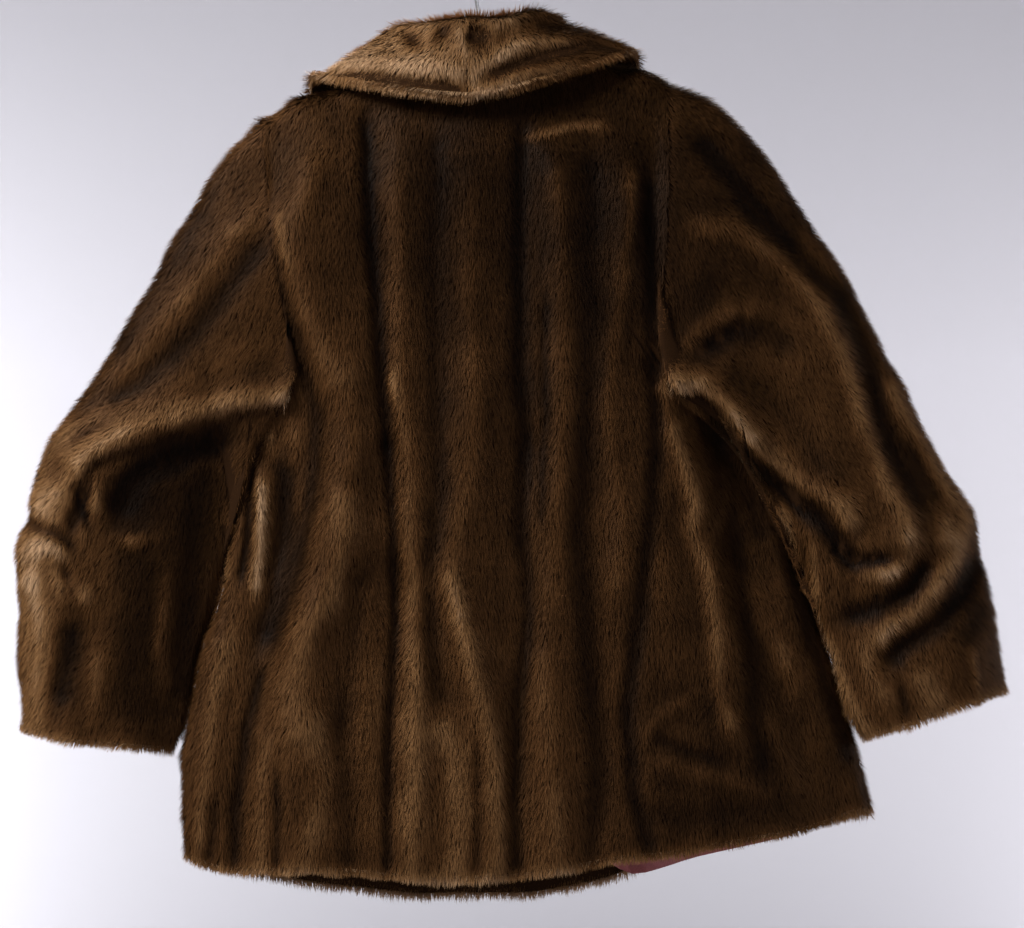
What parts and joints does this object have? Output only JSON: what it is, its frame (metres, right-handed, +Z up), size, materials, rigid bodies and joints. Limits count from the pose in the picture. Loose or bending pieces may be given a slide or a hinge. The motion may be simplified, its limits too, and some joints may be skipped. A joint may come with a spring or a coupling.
{
  "type": "faux fur coat on a hanger",
  "caption": "Hip-length brown faux fur coat with a wide turned-down fur collar, hanging from a wooden hanger by its wire hook.",
  "frame": {"origin": "where the inside of the hanger's hook rests on a rail, at the top of its round", "axes": "+Z up, the back of the coat faces -Y and its fronts +Y, +X to the wearer's right"},
  "size_m": [0.9423, 0.1327, 0.9043],
  "materials": {
    "brown_fur": "dense short faux mink pile, soft sheen",
    "pink_satin": "satin lining",
    "varnished_wood": "satin varnish",
    "steel_wire": "bright drawn wire"
  },
  "bodies": {
    "root": {"back": "brown_fur", "front_left": "brown_fur", "front_right": "brown_fur", "sleeve_left": "brown_fur", "sleeve_right": "brown_fur", "collar_left": "brown_fur", "collar_right": "brown_fur", "lining_hem": "pink_satin", "hanger_bar": "varnished_wood", "hanger_hook": "steel_wire"}
  },
  "joints": []
}
